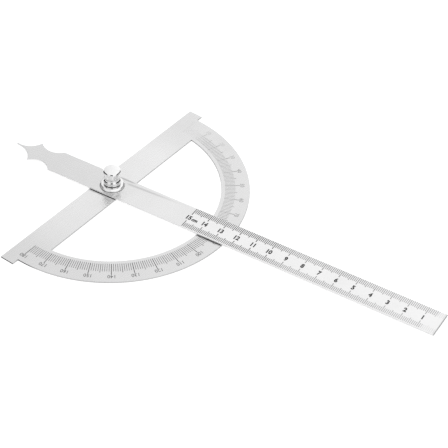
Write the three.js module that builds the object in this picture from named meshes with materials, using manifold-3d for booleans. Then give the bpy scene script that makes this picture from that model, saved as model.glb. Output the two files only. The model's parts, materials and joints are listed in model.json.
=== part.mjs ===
// A half-round steel protractor with a swinging ruler arm, held by a knurled locking knob.
//
// Millimetres, +Z up. The pivot is the Z axis and the underside of the head is z = 0.
// The head's base bar runs along Y, with the 0 degree end at +Y and the 180 degree end at -Y,
// and its half ring bulges to +X. The arm lies on top and points to +X, turned by its rest angle.

import * as THREE from "three";
import { mergeVertices } from "three/addons/utils/BufferGeometryUtils.js";
import Module from "manifold-3d";

const wasm = await Module();
wasm.setup();

// ---- Driving dimensions ----

const SHEET = 0.8; // thickness of the head and of the arm
const EDGE_BREAK = 0.1; // chamfer that is left along every sheet edge
const STRIP = 17.1; // width of the base bar, and of the arm

const HEAD_RADIUS = 76; // outer edge of the half ring
const RING_WIDTH = 15.8; // radial width of the half ring
const TAB_REACH = 80; // pivot to the end of each tab of the base bar

const ARM_REACH = 200; // pivot to the ruler's zero end
const REST_READING = 83.5; // degrees that the arm shows on the scale at rest

const TAIL_REACH = 65.2; // pivot to the tip of the pointer
const TIP_RADIUS = 0.5; // round end of the pointer
const TIP_OFFSET = 0.85; // from the strip's centre line to the tip, towards +Y
const FLANK_DEPTH = 2.6; // hollow of the edges between the tip and the barbs
// The two barbs: how far back and out they reach, and the notch between each barb and the strip.
const LEFT_BARB = { reach: 53.1, width: STRIP / 2, notchStart: 38, notchDepth: 3.4 };
const RIGHT_BARB = { reach: 52.2, width: 8.2, notchStart: 37.6, notchDepth: 3.85 };

const PLAY = 0.05; // clearance between pieces that turn on each other
const STUD_HEAD_RADIUS = 4.2; // countersunk head, flush with the underside
const JOURNAL_RADIUS = 2.5; // plain length of the stud that the arm turns on
const THREAD_RADIUS = 2;
const STUD_TOP = 10.4;
const STUD_CHAMFER = 0.4;

const WASHER_RADIUS = 7.5;
const WASHER = 0.3; // thickness of the washer under the arm

const COLLAR_RADIUS = 6.85;
const COLLAR = 1.4; // thickness of the collar under the knob
const COLLAR_SLOPE = 0.85; // width of the broad chamfer round the collar's top
const COLLAR_DROP = 0.68; // height of that chamfer

const KNOB_RADIUS = 4.9;
const KNOB_TOP = 12.7;
const CROWN_CHAMFER = 0.6; // round the top of the grip
const GRIP_BOTTOM = 8.2;
const GRIP_CHAMFER = 0.25; // round the bottom of the grip
const NECK_RADIUS = 4.1; // waist between the grip and the foot
const FOOT_RADIUS = 4.8;
const FOOT_TOP = 6.6;
const FOOT_CHAMFER = 0.6; // round the top of the foot
const FOOT_TAPER = 0.5; // round the bottom of the foot
const UNDERCUT_RADIUS = 3.6; // groove that lifts the foot's rim off the collar
const UNDERCUT = 0.25; // height of that groove
const BORE_TOP = 11; // blind end of the threaded bore
const SPIGOT_RADIUS = 2.95; // neck that carries the collar
const RIVET_RADIUS = 3.5; // flared end of that neck
const RIVET = 0.4; // thickness of the flared end
const KNURL_MARGIN = 0.2; // plain land above and below the knurl
const KNURL_TEETH = 40;
const KNURL_DEPTH = 0.3;

const ROUNDNESS = 0.01; // how far a straight step may lie inside the arc that it stands for
const TURNED_STEPS = 48; // steps round each turned piece

// ---- Heights, worked out from the stack ----

const washerTop = SHEET + WASHER;
const armBottom = washerTop + PLAY;
const armTop = armBottom + SHEET;
const collarBottom = armTop + PLAY;
const collarTop = collarBottom + COLLAR;
const knobBottom = collarTop + PLAY;

// ---- Finishes ----

const steel = { color: 0xd9dadb, roughness: 0.35, metalness: 1 };
const rulerSteel = { color: 0xe6e7e8, roughness: 0.45, metalness: 1 };
const chrome = { color: 0xeef0f2, roughness: 0.12, metalness: 1 };
const nylon = { color: 0xcfcdc6, roughness: 0.6, metalness: 0 };

// ---- Helpers ----

// Points along an arc, both ends included, from one angle to another in radians.
function arcPoints(x, y, radius, from, to) {
  const widest = 2 * Math.acos(1 - ROUNDNESS / radius);
  const steps = Math.ceil(Math.abs(to - from) / widest);
  return Array.from({ length: steps + 1 }, (_, i) => {
    const angle = from + ((to - from) * i) / steps;
    return new THREE.Vector2(x + radius * Math.cos(angle), y + radius * Math.sin(angle));
  });
}

// An arc from one point to another, bowed to the right of the way by a depth, without its first point.
function hollowPoints(from, to, depth) {
  const chord = to.clone().sub(from);
  const half = chord.length() / 2;
  const radius = (half ** 2 + depth ** 2) / (2 * depth);
  const turn = Math.asin(half / radius);
  const middle = chord.angle() - Math.PI / 2;
  const x = (from.x + to.x) / 2 - (radius - depth) * Math.cos(middle);
  const y = (from.y + to.y) / 2 - (radius - depth) * Math.sin(middle);
  return arcPoints(x, y, radius, middle - turn, middle + turn).slice(1);
}

// A flat plate standing on z = 0, with its edges broken.
function sheet(outline, holes = []) {
  const shape = new THREE.Shape(outline);
  shape.holes = holes.map((points) => new THREE.Path(points));
  const plate = new THREE.ExtrudeGeometry(shape, {
    depth: SHEET - 2 * EDGE_BREAK,
    bevelThickness: EDGE_BREAK,
    bevelSize: EDGE_BREAK,
    bevelOffset: -EDGE_BREAK,
    bevelSegments: 1,
  });
  return plate.translate(0, 0, EDGE_BREAK);
}

// A piece turned about the Z axis, from [radius, height] pairs that run anticlockwise.
function turned(profile) {
  const points = profile.map(([radius, height]) => new THREE.Vector2(radius, height));
  return new THREE.LatheGeometry(points, TURNED_STEPS).rotateX(Math.PI / 2);
}

// A closed mesh as a solid that can be joined and cut.
function solid(geometry) {
  const bare = geometry.clone();
  bare.deleteAttribute("normal");
  bare.deleteAttribute("uv");
  const merged = mergeVertices(bare);
  return new wasm.Manifold(
    new wasm.Mesh({
      numProp: 3,
      vertProperties: merged.attributes.position.array,
      triVerts: new Uint32Array(merged.index.array),
    }),
  );
}

function geometryOf(made) {
  const mesh = made.getMesh();
  const geometry = new THREE.BufferGeometry();
  geometry.setAttribute("position", new THREE.BufferAttribute(mesh.vertProperties, 3));
  geometry.setIndex(new THREE.BufferAttribute(mesh.triVerts, 1));
  geometry.computeVertexNormals();
  return geometry;
}

function named(name, geometry, finish) {
  const mesh = new THREE.Mesh(geometry, new THREE.MeshStandardMaterial(finish));
  mesh.name = name;
  return mesh;
}

// ---- Pieces ----

// Base bar, half ring and the two tabs where the bar runs past the ring, in one sheet.
function headPlate() {
  const edge = STRIP / 2;
  const inner = HEAD_RADIUS - RING_WIDTH;
  const innerEnd = Math.acos(edge / inner);
  const outline = [
    new THREE.Vector2(-edge, TAB_REACH),
    new THREE.Vector2(-edge, -TAB_REACH),
    new THREE.Vector2(0, -TAB_REACH),
    ...arcPoints(0, 0, HEAD_RADIUS, -Math.PI / 2, Math.PI / 2),
    new THREE.Vector2(0, TAB_REACH),
  ];
  const opening = arcPoints(0, 0, inner, innerEnd, -innerEnd);
  const plate = solid(sheet(outline, [opening]));
  const hole = turned([
    [0, -PLAY],
    [STUD_HEAD_RADIUS + PLAY, -PLAY],
    [STUD_HEAD_RADIUS + PLAY, 0],
    [JOURNAL_RADIUS + PLAY, SHEET],
    [JOURNAL_RADIUS + PLAY, SHEET + PLAY],
    [0, SHEET + PLAY],
  ]);
  return named("head_plate", geometryOf(plate.subtract(solid(hole))), steel);
}

// One edge of the arm, from the pointer's tip to the ruler's corner. A side of 1 is +Y and -1 is -Y.
function armEdge(side, barb) {
  const tipX = TIP_RADIUS - TAIL_REACH;
  const tip = arcPoints(tipX, side * TIP_OFFSET, TIP_RADIUS, Math.PI, Math.PI / 2);
  const point = new THREE.Vector2(-barb.reach, barb.width);
  const shoulder = new THREE.Vector2(-barb.notchStart, STRIP / 2);
  const flank = hollowPoints(tip.at(-1), point, FLANK_DEPTH);
  const notch = hollowPoints(point, shoulder, barb.notchDepth);
  const edge = [...tip, ...flank, ...notch, new THREE.Vector2(ARM_REACH, STRIP / 2)];
  return edge.map(({ x, y }) => new THREE.Vector2(x, side * y));
}

// Ruler, pivot eye and pointer in one strip, along X.
function swingArm() {
  const left = armEdge(1, LEFT_BARB);
  const right = armEdge(-1, RIGHT_BARB);
  const eye = arcPoints(0, 0, JOURNAL_RADIUS + PLAY, 0, 2 * Math.PI).slice(1);

  const arm = named("swing_arm", sheet([...right.slice(1), ...left.reverse()], [eye]), rulerSteel);
  arm.position.z = armBottom;
  arm.rotation.z = THREE.MathUtils.degToRad(90 - REST_READING);
  return arm;
}

// Flush head, plain journal and threaded end.
function pivotStud() {
  const journalTop = armTop - PLAY;
  const profile = [
    [0, 0],
    [STUD_HEAD_RADIUS, 0],
    [JOURNAL_RADIUS, SHEET],
    [JOURNAL_RADIUS, journalTop],
    [THREAD_RADIUS, journalTop],
    [THREAD_RADIUS, STUD_TOP - STUD_CHAMFER],
    [THREAD_RADIUS - STUD_CHAMFER, STUD_TOP],
    [0, STUD_TOP],
  ];
  return named("pivot_stud", turned(profile), steel);
}

function frictionWasher() {
  const bore = JOURNAL_RADIUS + PLAY;
  const profile = [
    [bore, SHEET],
    [WASHER_RADIUS, SHEET],
    [WASHER_RADIUS, washerTop],
    [bore, washerTop],
    [bore, SHEET],
  ];
  return named("friction_washer", turned(profile), nylon);
}

// Ring that the knob presses on the arm. A recess underneath holds the knob's flared spigot.
function collarWasher() {
  const bore = SPIGOT_RADIUS + PLAY;
  const recess = RIVET_RADIUS + PLAY;
  const recessTop = collarBottom + RIVET + 3 * PLAY;
  const profile = [
    [recess, collarBottom],
    [COLLAR_RADIUS, collarBottom],
    [COLLAR_RADIUS, collarTop - COLLAR_DROP],
    [COLLAR_RADIUS - COLLAR_SLOPE, collarTop],
    [bore, collarTop],
    [bore, recessTop],
    [recess, recessTop],
    [recess, collarBottom],
  ];
  return named("collar_washer", turned(profile), chrome);
}

// Outline of the knurl: pointed teeth round a circle.
function knurlOutline() {
  return Array.from({ length: 2 * KNURL_TEETH }, (_, i) => {
    const radius = KNOB_RADIUS - (i % 2) * KNURL_DEPTH;
    const angle = (i * Math.PI) / KNURL_TEETH;
    return new THREE.Vector2(radius * Math.cos(angle), radius * Math.sin(angle));
  });
}

// Thumb nut with a closed top: a spigot that carries the collar, a foot, a waist and a knurled grip.
function lockKnob() {
  const rivetBottom = collarBottom + PLAY;
  const bore = THREAD_RADIUS + 2 * PLAY;
  const root = KNOB_RADIUS - KNURL_DEPTH - PLAY;
  const rimBottom = knobBottom + UNDERCUT;
  const knurlStart = GRIP_BOTTOM + GRIP_CHAMFER + KNURL_MARGIN;
  const knurlEnd = KNOB_TOP - CROWN_CHAMFER - KNURL_MARGIN;
  const body = turned([
    [0, BORE_TOP],
    [bore, BORE_TOP],
    [bore, rivetBottom],
    [RIVET_RADIUS, rivetBottom],
    [RIVET_RADIUS, rivetBottom + RIVET],
    [SPIGOT_RADIUS, rivetBottom + RIVET],
    [SPIGOT_RADIUS, knobBottom],
    [UNDERCUT_RADIUS, knobBottom],
    [UNDERCUT_RADIUS, rimBottom],
    [FOOT_RADIUS - FOOT_TAPER, rimBottom],
    [FOOT_RADIUS, rimBottom + FOOT_TAPER],
    [FOOT_RADIUS, FOOT_TOP - FOOT_CHAMFER],
    [FOOT_RADIUS - FOOT_CHAMFER, FOOT_TOP],
    [NECK_RADIUS, FOOT_TOP],
    [NECK_RADIUS, GRIP_BOTTOM],
    [KNOB_RADIUS - GRIP_CHAMFER, GRIP_BOTTOM],
    [KNOB_RADIUS, GRIP_BOTTOM + GRIP_CHAMFER],
    [KNOB_RADIUS, knurlStart],
    [root, knurlStart],
    [root, knurlEnd],
    [KNOB_RADIUS, knurlEnd],
    [KNOB_RADIUS, KNOB_TOP - CROWN_CHAMFER],
    [KNOB_RADIUS - CROWN_CHAMFER, KNOB_TOP],
    [0, KNOB_TOP],
  ]);
  const grip = new THREE.ExtrudeGeometry(new THREE.Shape(knurlOutline()), {
    depth: knurlEnd - knurlStart,
    bevelEnabled: false,
  });
  grip.translate(0, 0, knurlStart);
  const core = turned([
    [0, knurlStart - PLAY],
    [root - PLAY, knurlStart - PLAY],
    [root - PLAY, knurlEnd + PLAY],
    [0, knurlEnd + PLAY],
  ]);
  const teeth = solid(grip).subtract(solid(core));
  return named("lock_knob", geometryOf(solid(body).add(teeth)), chrome);
}

// ---- Assembly ----

const protractor = new THREE.Group();
protractor.add(headPlate(), swingArm(), pivotStud(), frictionWasher(), collarWasher(), lockKnob());

export default protractor;
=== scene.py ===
"""Looks for the steel protractor: brushed metal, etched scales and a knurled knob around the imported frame.

Lengths are written in millimetres and turned into metres by MM. The pivot is the Z axis, the base bar runs
along Y and the half ring bulges to +X, as in the frame.
"""

import json
import math

import bmesh
import bpy
from mathutils import Matrix, Vector


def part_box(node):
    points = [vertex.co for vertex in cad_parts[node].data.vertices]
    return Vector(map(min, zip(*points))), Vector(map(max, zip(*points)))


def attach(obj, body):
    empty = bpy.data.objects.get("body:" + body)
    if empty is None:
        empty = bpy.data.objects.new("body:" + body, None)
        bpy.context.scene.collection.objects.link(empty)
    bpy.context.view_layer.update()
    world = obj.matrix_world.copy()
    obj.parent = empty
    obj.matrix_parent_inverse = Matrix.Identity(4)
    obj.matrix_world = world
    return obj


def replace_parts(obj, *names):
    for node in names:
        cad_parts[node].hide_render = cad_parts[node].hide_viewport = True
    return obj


MM = 0.001

# ---- Camera ----

CAMERA_AZIMUTH = -54.02  # degrees from +X round to the camera
CAMERA_ELEVATION = 42.017
CAMERA_ROLL = 2.283
CAMERA_DISTANCE = 881.6 * MM
CAMERA_AIM = Vector((66.1, 15.193, 0)) * MM
SENSOR = 36  # mm
LENS = 131.185  # mm

# ---- Etched scales ----

INK_DEPTH = 0.02 * MM  # how far the filled etching reaches into the metal
INK_PROUD = 0.008 * MM

DEGREE_START = 62.3 * MM  # inner end of every degree line
DEGREE_ENDS = {10: 70.6 * MM, 5: 69.0 * MM, 1: 68.0 * MM}
DEGREE_LINES = {10: 0.36 * MM, 5: 0.28 * MM, 1: 0.24 * MM}
DEGREE_DIGIT_BASE = 70.75 * MM  # pivot to the foot of the digits

RULER_LENGTH = 150  # mm
RULER_ENDS = {10: 2.75 * MM, 5: 3.65 * MM, 1: 4.45 * MM}  # from the arm's centre line
RULER_MARGINS = {1: 0.15 * MM, -1: 0.75 * MM}  # bare metal from the lines to the arm's +Y and -Y edges
RULER_LINES = {10: 0.47 * MM, 5: 0.42 * MM, 1: 0.41 * MM}
UNIT_OFFSET = 3.7 * MM  # from the last number to the unit after it

# Height of the digits, their width as a share of the typeface's own, and how much bolder they are than it.
DEGREE_TYPE = {"height": 2.3 * MM, "narrow": 0.95, "weight": 0.0}
RULER_TYPE = {"height": 3.3 * MM, "narrow": 0.84, "weight": 0.05}
UNIT_TYPE = {"height": 2.6 * MM, "narrow": 0.9, "weight": 0.05}
DIGIT_TOP = 0.69  # height of the typeface's digits, as a share of its size

# ---- Knob and collar, in mm ----

PLAY = 0.05  # clearance between pieces that turn on each other
BORE_RADIUS = 2.1
BORE_TOP = 11  # blind end of the bore
SPIGOT_RADIUS = 2.95  # neck that carries the collar
RIVET_RADIUS = 3.5  # flared end of that neck
RIVET = 0.4  # thickness of the flared end
UNDERCUT_RADIUS = 3.6  # groove that lifts the foot's rim off the collar
UNDERCUT = 0.25  # height of that groove
FOOT_RADIUS = 4.8
FOOT_TOP = 6.6
FOOT_CHAMFER = 0.6  # round the top of the foot
FOOT_TAPER = 0.5  # round the bottom of the foot
NECK_RADIUS = 4.1
NECK_BOTTOM = 6.85
GRIP_BOTTOM = 8.2
GRIP_CHAMFER = 0.25  # round the bottom of the grip
CROWN_CHAMFER = 0.6  # round the top of the grip
KNURL_MARGIN = 0.2  # plain land above and below the knurl
KNURL_DEPTH = 0.24
KNURL_ROWS = 9

COLLAR_BORE = 3.0
COLLAR_SLOPE = 0.85  # width of the broad chamfer round the collar's top
COLLAR_DROP = 0.68  # height of that chamfer
RECESS_RADIUS = 3.55  # hollow under the collar for the flared end
RECESS = 0.55  # height of that hollow

ROUND_STEPS = 144  # steps round the turned pieces
FILLET_STEPS = 4
CREASE = 30  # degrees; edges sharper than this stay sharp, and flatter ones are shaded round

# ---- Colours ----

STEEL = (0.724, 0.724, 0.724)
SATIN = (0.845, 0.845, 0.845)
CUT_EDGE = (0.05, 0.05, 0.05)
CHROME = (0.86, 0.86, 0.86)
INK = (0.02, 0.02, 0.02)
NYLON = ((0.66, 0.65, 0.6), (0.8, 0.79, 0.75))
BLACK = (0, 0, 0)
WHITE = (1, 1, 1, 1)

# A ramp is given as where it starts and ends, and its value before and after.

# ---- Tones of the steel, which multiply its colour; most of them paint light and shade onto it ----

HEAD_TONES = (35 * MM, 68 * MM, 1.09, 0.975)  # painted light, from the pivot outwards
POINTER_TONES = (-8 * MM, 14 * MM, 0.985, 1.06)  # painted light, from the arm's pointer to its middle
RULER_TONES = (48 * MM, 52 * MM, 1.0, 0.95)  # painted light, from the arm's middle to its ruler
END_TONES = (0.6 * MM, 0.3 * MM, 1.0, 0.62)  # towards the ruler's end

PAINTED_BAND_TONE = 0.76  # of a painted dark band of reflection and shade beside the knob, which drifts to the arm's far edge
BAND_DRIFT = 0.05  # how far it drifts for each length along the arm
BAND_ACROSS = (4.2 * MM, 5.6 * MM)
BAND_START = (4 * MM, 9 * MM)
BAND_FADE = (52 * MM, 14 * MM)
PAINTED_SHADOW_TONE = 0.66  # of a short, thin painted shadow between the knob and that edge
SHADOW_ALONG = (0 * MM, 10 * MM)
SHADOW_ACROSS = (7.0 * MM, 8.1 * MM)

BRUSHING = (90, 5500, 900)  # how fine the lines are along the brushing, across it and through the sheet
SCRATCHES = (400, 9000, 2500)
PAINTED_SHADE_REACH = 0.55 * MM  # how near another surface must be for painted shade to gather

# ---- Wear of the etched lines, as the share of their fill that is gone ----

DEGREE_WEAR = (-0.1, 0.4, 0.0, 0.3)  # by the cosine of the reading
LAST_DEGREES_WEAR = (0.97, 0.998, 0.0, 0.6)
NUMERAL_WEAR = (0.6, 0.97, 0.0, 0.7)
RULER_WEAR = (110 * MM, 80 * MM, 0.0, 0.3)  # by the distance from the ruler's end
RULER_END_WEAR = (60 * MM, 20 * MM, 0.0, 0.18)
LAST_LINES_WEAR = (9 * MM, 5 * MM, 0.0, 1.0)
LAST_LINES_SLOPE = 0.3  # how much further in the last lines are gone on the arm's -Y side, per length across
EDGE_WEAR = (1 * MM, -1 * MM, 0.0, 0.1)  # across the arm, towards the edge that is drawn against

# ---- Light. An azimuth of 0 points from the object to the camera's side. ----

SKY = (-0.16, -0.02, 0.9, 1.12)  # brightness, from the camera's left to its right
CARD_SLANT = 2.02  # how much nearer the camera's side a card's top is than its foot
CARD = (2.22, 2.74)  # dark stretch on each side, as a slanting azimuth in radians
DIM_CARD = (2.8, 3.06)  # weaker stretch beyond it
DIM_SHARE = 0.8
CARD_HEIGHTS = (0.07, 0.64)  # as the sine of the elevation
SPOT_HEIGHTS = (0.66, 0.81)  # small dark spot, high on the camera's side
SPOT_REACH = (0.36, 0.26)  # azimuths where it has gone and where it is whole
CARD_LIGHT = 0.06  # what is left of the sky in the darkest of these
BACKDROP = 1.0  # what the camera sees on top of the light that the object gets
LAMP_PLACE = (0.1, 0.1, 1.6)  # metres
LAMP_SIZE = 1.2  # metres
LAMP_POWER = 9  # watts
FLOOR_REACH = 4  # metres from the pivot to the floor's sides
FLOOR_GREY = (0.3, 0.3, 0.3, 1)
FLOOR_GLOW = 0.8

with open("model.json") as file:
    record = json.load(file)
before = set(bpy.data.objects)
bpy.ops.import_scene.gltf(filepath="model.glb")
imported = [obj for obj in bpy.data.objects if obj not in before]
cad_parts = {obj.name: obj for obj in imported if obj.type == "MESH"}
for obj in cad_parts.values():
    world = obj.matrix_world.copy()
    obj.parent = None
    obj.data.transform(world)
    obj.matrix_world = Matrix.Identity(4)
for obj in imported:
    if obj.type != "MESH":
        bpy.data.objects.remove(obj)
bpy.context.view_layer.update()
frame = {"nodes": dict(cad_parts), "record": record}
record = frame["record"]

head_low, head_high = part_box("head_plate")
_, arm_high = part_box("swing_arm")
collar_low, collar_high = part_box("collar_washer")
knob_low, knob_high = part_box("lock_knob")

ruler_end = next(mount for mount in record["mounts"] if mount["name"] == "ruler_end")
ARM_ANGLE = math.atan2(ruler_end["axis"][1], ruler_end["axis"][0])
ARM_REACH = math.hypot(*ruler_end["pos_m"][:2])
HALF_STRIP = -head_low.x


# ---- Node helpers ----

def node(tree, kind, inputs=None, **settings):
    """Adds a shader node. Inputs are given by name or number, as a value or as another node's output."""
    made = tree.nodes.new("ShaderNode" + kind)
    for name, value in settings.items():
        setattr(made, name, value)
    for name, value in (inputs or {}).items():
        if isinstance(value, bpy.types.NodeSocket):
            tree.links.new(value, made.inputs[name])
        else:
            made.inputs[name].default_value = value
    return made


def math_node(tree, operation, *values):
    return node(tree, "Math", dict(enumerate(values)), operation=operation).outputs[0]


def chained(tree, operation, first, *others):
    """The first value, with an operation such as MULTIPLY or ADD done to it by each of the others."""
    for other in others:
        first = math_node(tree, operation, first, other)
    return first


def ramp(tree, value, low, high, out_low=0.0, out_high=1.0):
    """A smooth step from out_low, where value is low, to out_high, where it is high."""
    inputs = {"Value": value, "From Min": low, "From Max": high, "To Min": out_low, "To Max": out_high}
    return node(tree, "MapRange", inputs, interpolation_type="SMOOTHSTEP").outputs["Result"]


def between(tree, value, low, high, soft):
    """1 where value lies from low to high, falling smoothly to 0 within soft either side of both."""
    rise = ramp(tree, value, low - soft, low + soft)
    return math_node(tree, "MULTIPLY", rise, ramp(tree, value, high + soft, high - soft))


def mix(tree, share, first, second, clamp=True):
    """A colour between two colours, given as sockets or as three numbers."""
    colours = [c if isinstance(c, bpy.types.NodeSocket) else (*c, 1) for c in (first, second)]
    inputs = {0: share, 6: colours[0], 7: colours[1]}
    return node(tree, "Mix", inputs, data_type="RGBA", clamp_factor=clamp).outputs[2]


def toned(tree, tone, colour):
    """A colour made darker, or lighter where the tone is above 1."""
    return mix(tree, tone, BLACK, colour, clamp=False)


def noise(tree, vector, scale, detail=2.0, roughness=0.5):
    inputs = {"Vector": vector, "Scale": scale, "Detail": detail, "Roughness": roughness}
    return node(tree, "TexNoise", inputs).outputs["Fac"]


def coordinates(tree, kind="Object"):
    return node(tree, "TexCoord").outputs[kind]


def split(tree, vector):
    """A vector's X, Y and Z."""
    return node(tree, "SeparateXYZ", {0: vector}).outputs


def length(tree, vector):
    return node(tree, "VectorMath", {0: vector}, operation="LENGTH").outputs["Value"]


def stretched(tree, vector, scales, angle=0.0):
    """Coordinates turned by -angle about Z and then scaled along each axis."""
    turned = node(tree, "Mapping", {"Vector": vector, "Rotation": (0, 0, -angle)})
    return node(tree, "Mapping", {"Vector": turned.outputs[0], "Scale": scales}).outputs[0]


def open_share(tree):
    """How much of what surrounds a point is open, within the reach of the painted shade."""
    return node(tree, "AmbientOcclusion", {"Distance": PAINTED_SHADE_REACH}, samples=8).outputs["AO"]


def new_material(name, **sockets):
    """An empty Principled material, its node tree and its shader."""
    material = bpy.data.materials.new(name)
    material.use_nodes = True
    tree = material.node_tree
    shader = tree.nodes["Principled BSDF"]
    for socket, value in sockets.items():
        shader.inputs[socket.replace("_", " ")].default_value = value
    return material, tree, shader


def connect(tree, shader, **sockets):
    for socket, output in sockets.items():
        tree.links.new(output, shader.inputs[socket.replace("_", " ")])


def bump(tree, height, strength, distance):
    """A normal that gives the surface a fine relief."""
    return node(tree, "Bump", {"Strength": strength, "Distance": distance, "Height": height}).outputs[0]


def scaled(colour, factor):
    return tuple(channel * factor for channel in colour)


# ---- Materials ----

def rolled_steel(name, colour, angle, roughness, painted_side_colour, painted_tone=None, satin_from=None):
    """Brushed sheet: fine lines along one direction, faint clouds, finger marks, cut edges, and painted shade
    in gaps.

    angle is the direction of the brushing. The tone function takes the tree and coordinates along it, and
    gives a factor for the tone, which paints light and shade onto the sheet. From satin_from on, along the
    brushing, the sheet is the ruler's paler satin."""
    material, tree, shader = new_material(name, Metallic=1.0)
    place = coordinates(tree)
    along = stretched(tree, place, (1, 1, 1), angle)
    lines = noise(tree, stretched(tree, place, BRUSHING, angle), 1.0, 4.0, 0.65)
    clouds = noise(tree, along, 45.0, 3.0)
    smudges = noise(tree, along, 130.0, 4.0, 0.7)

    x, _, z = split(tree, stretched(tree, coordinates(tree, "Normal"), (1, 1, 1), angle))
    side = ramp(tree, math_node(tree, "ABSOLUTE", z), 0.85, 0.5)
    across = ramp(tree, math_node(tree, "ABSOLUTE", x), 0.985, 0.999)
    facing_down = ramp(tree, z, -0.4, -0.6)

    tone = ramp(tree, lines, 0.25, 0.75, 0.985, 1.015)
    tone = math_node(tree, "MULTIPLY", tone, ramp(tree, clouds, 0.3, 0.7, 0.985, 1.012))
    rough = chained(
        tree, "ADD", ramp(tree, lines, 0.2, 0.8, -0.03, 0.05), roughness,
        ramp(tree, smudges, 0.45, 0.75, 0.0, 0.06), math_node(tree, "MULTIPLY", side, 0.2))
    # Painted light and shade along the part, multiplied into the tone.
    if painted_tone is not None:
        tone = math_node(tree, "MULTIPLY", tone, painted_tone(tree, along))
    if satin_from is not None:
        satin = ramp(tree, split(tree, along)[0], satin_from - 0.1 * MM, satin_from + 0.1 * MM)
        colour = mix(tree, satin, colour, SATIN)
        rough = math_node(tree, "ADD", rough, math_node(tree, "MULTIPLY", satin, 0.12))

    # The sides take their own colour, which paints their light and shade; the cut ends are dark.
    edge = mix(tree, across, painted_side_colour, CUT_EDGE)
    # Painted shade: where another surface is near, the colour goes to the dark ink colour, except on faces
    # that look down.
    unshaded = math_node(tree, "MAXIMUM", ramp(tree, open_share(tree), 0.4, 0.8), facing_down)
    metal = mix(tree, unshaded, INK, mix(tree, side, toned(tree, tone, colour), edge))
    connect(tree, shader, Base_Color=metal, Roughness=rough, Normal=bump(tree, lines, 0.07, 0.02 * MM))
    return material


def head_shade(tree, along):
    """Painted light: the head is brighter round the pivot and darker round its rim."""
    return ramp(tree, length(tree, along), *HEAD_TONES)


def arm_shade(tree, along):
    """Painted light along the arm's stretches, the dark end of its ruler, and by the knob a painted dark band
    of reflection and shade and a painted shadow along its far edge.
    """
    x, y, _ = split(tree, along)
    from_end = math_node(tree, "SUBTRACT", ARM_REACH, x)
    # Painted dark reflection and shade in a band by the knob, and a thin painted shadow along the far edge.
    drifted = math_node(tree, "MULTIPLY_ADD", x, -BAND_DRIFT, y)
    painted_band = chained(
        tree, "MULTIPLY", ramp(tree, x, *BAND_START), ramp(tree, x, *BAND_FADE),
        between(tree, drifted, *BAND_ACROSS, 0.9 * MM))
    painted_shadow = math_node(
        tree, "MULTIPLY", between(tree, x, *SHADOW_ALONG, 3 * MM), between(tree, y, *SHADOW_ACROSS, 0.5 * MM))
    return chained(
        tree, "MULTIPLY", ramp(tree, x, *POINTER_TONES), ramp(tree, x, *RULER_TONES),
        ramp(tree, from_end, *END_TONES), ramp(tree, painted_shadow, 0.0, 1.0, 1.0, PAINTED_SHADOW_TONE),
        ramp(tree, painted_band, 0.0, 1.0, 1.0, PAINTED_BAND_TONE))


def chrome(name):
    """Polished plate with faint turning rings, fine scratches, and painted shade in its hollows and where
    other surfaces are near.
    """
    material, tree, shader = new_material(name, Metallic=1.0)
    place = coordinates(tree)
    x, y, z = split(tree, place)
    radius = length(tree, node(tree, "CombineXYZ", {0: x, 1: y}).outputs[0])
    rings = noise(tree, node(tree, "CombineXYZ", {0: radius, 1: z}).outputs[0], 9000.0)
    clouds = noise(tree, place, 350.0, 3.0)
    scratches = noise(tree, stretched(tree, place, SCRATCHES, 0.6), 1.0)

    tone = ramp(tree, clouds, 0.3, 0.7, 0.97, 1.03)
    # Painted shade: darker where other surfaces are near, as under the knob's foot and in the knurl's
    # grooves.
    tone = math_node(tree, "MULTIPLY", tone, ramp(tree, open_share(tree), 0.15, 0.6, 0.25, 1.0))
    rough = chained(
        tree, "ADD", ramp(tree, rings, 0.3, 0.7, 0.05, 0.12), ramp(tree, clouds, 0.4, 0.8, 0.0, 0.08),
        ramp(tree, scratches, 0.62, 0.75, 0.0, 0.12))
    connect(tree, shader, Base_Color=toned(tree, tone, CHROME), Roughness=rough)
    connect(tree, shader, Normal=bump(tree, rings, 0.08, 0.01 * MM))
    return material


def ink(name, fade):
    """Dull black fill of the etched lines, worn through in specks.

    fade takes the tree and the coordinates and gives how far the fill is worn away, from 0 to 1."""
    material, tree, shader = new_material(name)
    place = coordinates(tree)
    specks = noise(tree, place, 2600.0, 3.0, 0.7)
    worn = math_node(tree, "MAXIMUM", ramp(tree, specks, 0.6, 0.75, 0.0, 0.5), fade(tree, place))
    rough = math_node(tree, "MULTIPLY_ADD", worn, -0.25, 0.55)
    connect(tree, shader, Base_Color=mix(tree, worn, INK, STEEL), Metallic=worn, Roughness=rough)
    return material


def degree_fade(tree, place):
    """The degree scale is worn towards its 0 degree end, and its numerals more than its lines."""
    radius = length(tree, place)
    cosine = math_node(tree, "DIVIDE", split(tree, place)[1], radius)
    lines = chained(tree, "ADD", ramp(tree, cosine, *DEGREE_WEAR), ramp(tree, cosine, *LAST_DEGREES_WEAR))
    is_numeral = ramp(tree, radius, DEGREE_ENDS[5], DEGREE_ENDS[10])
    numerals = math_node(tree, "MULTIPLY", is_numeral, ramp(tree, cosine, *NUMERAL_WEAR))
    return math_node(tree, "MAXIMUM", lines, numerals)


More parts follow.
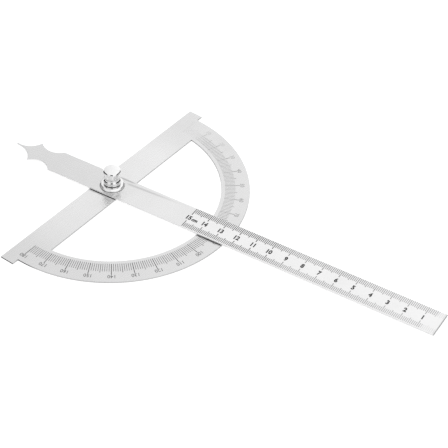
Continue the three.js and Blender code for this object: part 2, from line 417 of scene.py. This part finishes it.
def ruler_fade(tree, place):
    """The ruler's lines are worn towards its end and along the edge that is drawn against."""
    x, y, _ = split(tree, stretched(tree, place, (1, 1, 1), ARM_ANGLE))
    from_end = math_node(tree, "SUBTRACT", ARM_REACH, x)
    worn = chained(
        tree, "ADD", ramp(tree, from_end, *RULER_WEAR), ramp(tree, from_end, *RULER_END_WEAR),
        ramp(tree, y, *EDGE_WEAR))
    is_line = ramp(tree, math_node(tree, "ABSOLUTE", y), RULER_TYPE["height"] / 2, RULER_ENDS[10])
    slanting = math_node(tree, "MULTIPLY_ADD", y, LAST_LINES_SLOPE, from_end)
    gone = ramp(tree, slanting, *LAST_LINES_WEAR)
    return math_node(tree, "MAXIMUM", math_node(tree, "MULTIPLY", worn, is_line), gone)


def nylon(name):
    """Cloudy, slightly clear plastic with a fine grain."""
    material, tree, shader = new_material(
        name, Subsurface_Weight=0.2, Subsurface_Radius=(0.4 * MM,) * 3, Subsurface_Scale=1)
    place = coordinates(tree)
    clouds = noise(tree, place, 400.0, 3.0)
    grain = noise(tree, place, 6000.0)
    rough = ramp(tree, clouds, 0.3, 0.7, 0.45, 0.6)
    connect(tree, shader, Base_Color=mix(tree, clouds, *NYLON), Roughness=rough)
    connect(tree, shader, Normal=bump(tree, grain, 0.1, 0.01 * MM))
    return material


# ---- Mesh helpers ----

def mesh_object(name, bm, material, smooth_angle=None):
    """Turns a bmesh into an object, smooth except across edges sharper than smooth_angle."""
    bmesh.ops.recalc_face_normals(bm, faces=bm.faces)
    mesh = bpy.data.meshes.new(name)
    bm.to_mesh(mesh)
    bm.free()
    if smooth_angle is not None:
        mesh.shade_smooth()
        mesh.set_sharp_from_angle(angle=math.radians(smooth_angle))
    mesh.materials.append(material)
    made = bpy.data.objects.new(name, mesh)
    bpy.context.scene.collection.objects.link(made)
    return made


def add_block(bm, place, size):
    """A box of the given size, centred on place's origin and turned with it."""
    scale = Matrix.Diagonal((*size, 1))
    bmesh.ops.create_cube(bm, size=1, matrix=place @ scale)


def add_text(bm, body, place, thickness, height, narrow, weight):
    """Digits of the given height as a closed slab, standing on place's origin and centred across it.

    narrow is their width as a share of the typeface's own, and weight how much bolder their strokes are."""
    curve = bpy.data.curves.new("text", "FONT")
    curve.body = body
    curve.align_x = "CENTER"
    curve.offset = weight
    curve.extrude = 0.5
    curve.resolution_u = 3
    text = bpy.data.objects.new("text", curve)
    bpy.context.scene.collection.objects.link(text)
    bpy.context.view_layer.update()
    mesh = bpy.data.meshes.new_from_object(text.evaluated_get(bpy.context.evaluated_depsgraph_get()))
    left = min(v.co.x for v in mesh.vertices)
    right = max(v.co.x for v in mesh.vertices)
    size = height / (DIGIT_TOP + 2 * weight)
    fit = Matrix.Diagonal((size * narrow, size, thickness, 1))
    centre = Matrix.Translation((-(left + right) / 2, weight, 0))
    mesh.transform(place @ fit @ centre)
    bm.from_mesh(mesh)
    bpy.data.objects.remove(text)
    bpy.data.curves.remove(curve)
    bpy.data.meshes.remove(mesh)


def ink_height(top):
    """Middle height and thickness of ink on a face at that height."""
    return top + (INK_PROUD - INK_DEPTH) / 2, INK_PROUD + INK_DEPTH


def line_kind(number):
    """10, 5 or 1: which length of graduation a number gets."""
    return next(step for step in (10, 5, 1) if number % step == 0)


# ---- Scales ----

def degree_scale(material):
    """A line for each degree from 0, at +Y, to 180, and a number at every tenth."""
    bm = bmesh.new()
    height, thickness = ink_height(head_high.z)
    upright = Matrix.Rotation(-math.pi / 2, 4, "Z")
    for degree in range(181):
        turn = Matrix.Rotation(math.radians(90 - degree), 4, "Z")
        kind = line_kind(degree)
        end = DEGREE_ENDS[kind]
        middle = Matrix.Translation(((DEGREE_START + end) / 2, 0, height))
        add_block(bm, turn @ middle, (end - DEGREE_START, DEGREE_LINES[kind], thickness))
        if degree % 10 == 0:
            foot = Matrix.Translation((DEGREE_DIGIT_BASE, 0, height)) @ upright
            add_text(bm, str(degree), turn @ foot, thickness, **DEGREE_TYPE)
    return mesh_object("degree_scale", bm, material)


def centimetre_scale(material):
    """A line for each millimetre at both edges of the arm, and a number at every centimetre."""
    bm = bmesh.new()
    height, thickness = ink_height(arm_high.z)
    turn = Matrix.Rotation(ARM_ANGLE, 4, "Z")
    digit_foot = -RULER_TYPE["height"] / 2
    for reading in range(1, RULER_LENGTH + 1):
        x = ARM_REACH - reading * MM
        kind = line_kind(reading)
        inner = RULER_ENDS[kind]
        for side, margin in RULER_MARGINS.items():
            outer = HALF_STRIP - margin
            middle = Matrix.Translation((x, side * (outer + inner) / 2, height))
            add_block(bm, turn @ middle, (RULER_LINES[kind], outer - inner, thickness))
        if reading % 10 == 0:
            foot = Matrix.Translation((x, digit_foot, height))
            add_text(bm, str(reading // 10), turn @ foot, thickness, **RULER_TYPE)
    foot = Matrix.Translation((x + UNIT_OFFSET, digit_foot, height))
    add_text(bm, "cm", turn @ foot, thickness, **UNIT_TYPE)
    return mesh_object("centimetre_scale", bm, material)


# ---- Turned pieces ----

def filleted(profile):
    """Turns [radius, height, fillet] corners into plain rows with round corners, all in mm."""
    points = []
    count = len(profile)
    for i, (radius, height, fillet) in enumerate(profile):
        corner = Vector((radius, height))
        if not fillet:
            points.append(corner)
            continue
        before = (Vector(profile[i - 1][:2]) - corner).normalized()
        after = (Vector(profile[(i + 1) % count][:2]) - corner).normalized()
        half = before.angle(after) / 2
        reach = fillet / math.tan(half)
        centre = corner + (before + after).normalized() * (fillet / math.sin(half))
        start = corner + before * reach - centre
        end = corner + after * reach - centre
        turn = start.angle_signed(end)
        for step in range(FILLET_STEPS + 1):
            angle = -turn * step / FILLET_STEPS
            points.append(centre + Matrix.Rotation(angle, 2) @ start)
    return [(point.x, point.y, None) for point in points]


def ring_faces(bm, lower, upper, knurled):
    """Faces between two rings of a turned solid: triangles in a knurl, where knurled counts the rows."""
    for i in range(ROUND_STEPS):
        j = (i + 1) % ROUND_STEPS
        if len(lower) == 1:
            bm.faces.new((lower[0], upper[j], upper[i]))
        elif len(upper) == 1:
            bm.faces.new((lower[i], lower[j], upper[0]))
        elif knurled is None:
            bm.faces.new((lower[i], lower[j], upper[j], upper[i]))
        elif (i + knurled) % 2:
            bm.faces.new((lower[i], lower[j], upper[j]))
            bm.faces.new((lower[i], upper[j], upper[i]))
        else:
            bm.faces.new((lower[i], lower[j], upper[i]))
            bm.faces.new((lower[j], upper[j], upper[i]))


def lathe(name, rows, material, closed):
    """A turned solid from rows in mm. A row is (radius, height, knurled). knurled is None on a plain row.
    In a knurl it counts the rows, and every other point sinks to the root of the diamonds."""
    bm = bmesh.new()
    rings = []
    for radius, height, knurled in rows:
        if radius == 0:
            rings.append([bm.verts.new((0, 0, height * MM))])
            continue
        ring = []
        for i in range(ROUND_STEPS):
            sunk = KNURL_DEPTH if knurled is not None and (i + knurled) % 2 else 0
            angle = 2 * math.pi * i / ROUND_STEPS
            reach = (radius - sunk) * MM
            ring.append(bm.verts.new((reach * math.cos(angle), reach * math.sin(angle), height * MM)))
        rings.append(ring)
    for number in range(len(rows) if closed else len(rows) - 1):
        following = (number + 1) % len(rows)
        knurled = None if rows[following][2] is None else rows[number][2]
        ring_faces(bm, rings[number], rings[following], knurled)
    return mesh_object(name, bm, material, CREASE)


def knob_piece(material):
    """The thumb nut: blind bore, flared spigot, foot, waist, knurled grip and bevelled crown."""
    low, top = knob_low.z / MM, knob_high.z / MM
    radius = knob_high.x / MM
    foot = collar_high.z / MM + PLAY
    rim = foot + UNDERCUT
    knurl_start = GRIP_BOTTOM + GRIP_CHAMFER + KNURL_MARGIN
    knurl_end = top - CROWN_CHAMFER - KNURL_MARGIN
    below = filleted([
        [BORE_RADIUS, BORE_TOP, 0],
        [BORE_RADIUS, low, 0.1],
        [RIVET_RADIUS, low, 0.1],
        [RIVET_RADIUS, low + RIVET, 0.1],
        [SPIGOT_RADIUS, low + RIVET, 0],
        [SPIGOT_RADIUS, foot, 0],
        [UNDERCUT_RADIUS, foot, 0.05],
        [UNDERCUT_RADIUS, rim, 0.05],
        [FOOT_RADIUS - FOOT_TAPER, rim, 0.08],
        [FOOT_RADIUS, rim + FOOT_TAPER, 0.12],
        [FOOT_RADIUS, FOOT_TOP - FOOT_CHAMFER, 0.15],
        [FOOT_RADIUS - FOOT_CHAMFER, FOOT_TOP, 0.1],
        [NECK_RADIUS, NECK_BOTTOM, 0.1],
        [NECK_RADIUS, GRIP_BOTTOM, 0.15],
        [radius - GRIP_CHAMFER, GRIP_BOTTOM, 0.05],
        [radius, GRIP_BOTTOM + GRIP_CHAMFER, 0.05],
        [radius, knurl_start, 0],
    ])
    above = filleted([
        [radius, knurl_end, 0],
        [radius, top - CROWN_CHAMFER, 0.15],
        [radius - CROWN_CHAMFER, top, 0.15],
        [0, top, 0],
    ])
    pitch = (knurl_end - knurl_start) / KNURL_ROWS
    knurl = [(radius, knurl_start + pitch * k, k) for k in range(KNURL_ROWS + 1)]
    rows = [(0, BORE_TOP, None), *below, *knurl, *above]
    return lathe("knurled_knob", rows, material, closed=False)


def collar_piece(material):
    """The ring under the knob, with a broad chamfer, and a hollow underneath for the flared spigot."""
    low, top = collar_low.z / MM, collar_high.z / MM
    radius = collar_high.x / MM
    rows = filleted([
        [RECESS_RADIUS, low, 0],
        [radius, low, 0.1],
        [radius, top - COLLAR_DROP, 0.25],
        [radius - COLLAR_SLOPE, top, 0.3],
        [COLLAR_BORE, top, 0.1],
        [COLLAR_BORE, low + RECESS, 0],
        [RECESS_RADIUS, low + RECESS, 0],
    ])
    return lathe("pressure_collar", rows, material, closed=True)


# ---- Frame's own nodes ----

def dress(name, material):
    """Gives a CAD node its material, and rounds the shading of its arcs."""
    piece = frame["nodes"][name]
    mesh = piece.data
    mesh.materials.clear()
    mesh.materials.append(material)
    if mesh.has_custom_normals:
        mesh.attributes.remove(mesh.attributes["custom_normal"])
    mesh.shade_smooth()
    weld = piece.modifiers.new("weld", "WELD")
    weld.merge_threshold = 0.001 * MM
    edge_split = piece.modifiers.new("split", "EDGE_SPLIT")
    edge_split.split_angle = math.radians(CREASE)


# ---- Stage ----

def make_floor():
    """A pale floor that lets the underside show from below."""
    bm = bmesh.new()
    bmesh.ops.create_grid(bm, x_segments=1, y_segments=1, size=FLOOR_REACH)
    material, tree, shader = new_material(
        "floor", Base_Color=FLOOR_GREY, Roughness=0.6, Emission_Color=WHITE, Emission_Strength=FLOOR_GLOW)
    behind = node(tree, "NewGeometry").outputs["Backfacing"]
    clear = node(tree, "BsdfTransparent").outputs[0]
    surface = node(tree, "MixShader", {0: behind, 1: shader.outputs[0], 2: clear}).outputs[0]
    tree.links.new(surface, tree.nodes["Material Output"].inputs["Surface"])
    floor = mesh_object("floor", bm, material)
    floor.location.z = -0.01 * MM


def make_world():
    """Even white light. The chrome mirrors its darker stretches: two low on each side, and a spot high up."""
    world = bpy.data.worlds.new("studio")
    bpy.context.scene.world = world
    world.use_nodes = True
    tree = world.node_tree
    tree.nodes.clear()
    direction = stretched(tree, coordinates(tree, "Generated"), (1, 1, 1), math.radians(CAMERA_AZIMUTH))
    x, y, z = split(tree, direction)
    azimuth = math_node(tree, "ABSOLUTE", math_node(tree, "ARCTAN2", y, x))
    slanting = math_node(tree, "MULTIPLY_ADD", z, CARD_SLANT, azimuth)
    dim = math_node(tree, "MULTIPLY", between(tree, slanting, *DIM_CARD, 0.1), DIM_SHARE)
    cards = math_node(tree, "MAXIMUM", between(tree, slanting, *CARD, 0.1), dim)
    cards = math_node(tree, "MULTIPLY", cards, between(tree, z, *CARD_HEIGHTS, 0.04))
    spot = ramp(tree, azimuth, *SPOT_REACH)
    spot = math_node(tree, "MULTIPLY", spot, between(tree, z, *SPOT_HEIGHTS, 0.03))
    dark = math_node(tree, "MAXIMUM", cards, spot)
    light = math_node(tree, "MULTIPLY", ramp(tree, y, *SKY), ramp(tree, dark, 0.0, 1.0, 1.0, CARD_LIGHT))
    seen = math_node(tree, "MULTIPLY", node(tree, "LightPath").outputs["Is Camera Ray"], BACKDROP)
    strength = math_node(tree, "ADD", light, seen)
    background = node(tree, "Background", {"Color": WHITE, "Strength": strength})
    tree.links.new(background.outputs[0], node(tree, "OutputWorld").inputs["Surface"])


def make_lights():
    """One broad light overhead."""
    data = bpy.data.lights.new("overhead", "AREA")
    data.shape = "DISK"
    data.size = LAMP_SIZE
    data.energy = LAMP_POWER
    light = bpy.data.objects.new("overhead", data)
    light.location = LAMP_PLACE
    light.visible_glossy = False  # seen from above, the steel would mirror it
    bpy.context.scene.collection.objects.link(light)


def make_camera():
    """The photograph's view, with its slight tilt."""
    azimuth, elevation, roll = map(math.radians, (CAMERA_AZIMUTH, CAMERA_ELEVATION, CAMERA_ROLL))
    back = Vector((math.cos(azimuth), math.sin(azimuth), 0)) * math.cos(elevation)
    back.z = math.sin(elevation)
    right = Vector((0, 0, 1)).cross(back).normalized()
    axes = Matrix((right, back.cross(right), back)).transposed().to_4x4()
    data = bpy.data.cameras.new("camera")
    data.sensor_width = SENSOR
    data.lens = LENS
    camera = bpy.data.objects.new("camera", data)
    place = Matrix.Translation(CAMERA_AIM + back * CAMERA_DISTANCE)
    camera.matrix_world = place @ axes @ Matrix.Rotation(roll, 4, "Z")
    bpy.context.scene.collection.objects.link(camera)
    bpy.context.scene.camera = camera


# ---- Assembly ----

bpy.context.scene.view_settings.view_transform = "Standard"
bpy.context.scene.cycles.denoising_prefilter = "FAST"  # the slower one smears the 1 mm lines
make_camera()
make_world()
make_lights()
make_floor()

# The head's sides are painted darker as shade; the arm's sides are painted lighter as a reflection of the
# floor.
head_steel = rolled_steel("head_steel", STEEL, math.pi / 2, 0.26, scaled(STEEL, 0.7), head_shade)
ruler_start = ARM_REACH - RULER_LENGTH * MM
arm_steel = rolled_steel("arm_steel", STEEL, ARM_ANGLE, 0.26, scaled(STEEL, 1.1), arm_shade, ruler_start)
dress("head_plate", head_steel)
dress("swing_arm", arm_steel)
dress("pivot_stud", rolled_steel("stud_steel", scaled(STEEL, 0.9), 0, 0.3, STEEL))
dress("friction_washer", nylon("washer_nylon"))

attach(degree_scale(ink("degree_ink", degree_fade)), "head")
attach(centimetre_scale(ink("ruler_ink", ruler_fade)), "arm")

plated = chrome("plated_chrome")
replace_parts(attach(knob_piece(plated), "knob"), "lock_knob")
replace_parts(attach(collar_piece(plated), "collar"), "collar_washer")
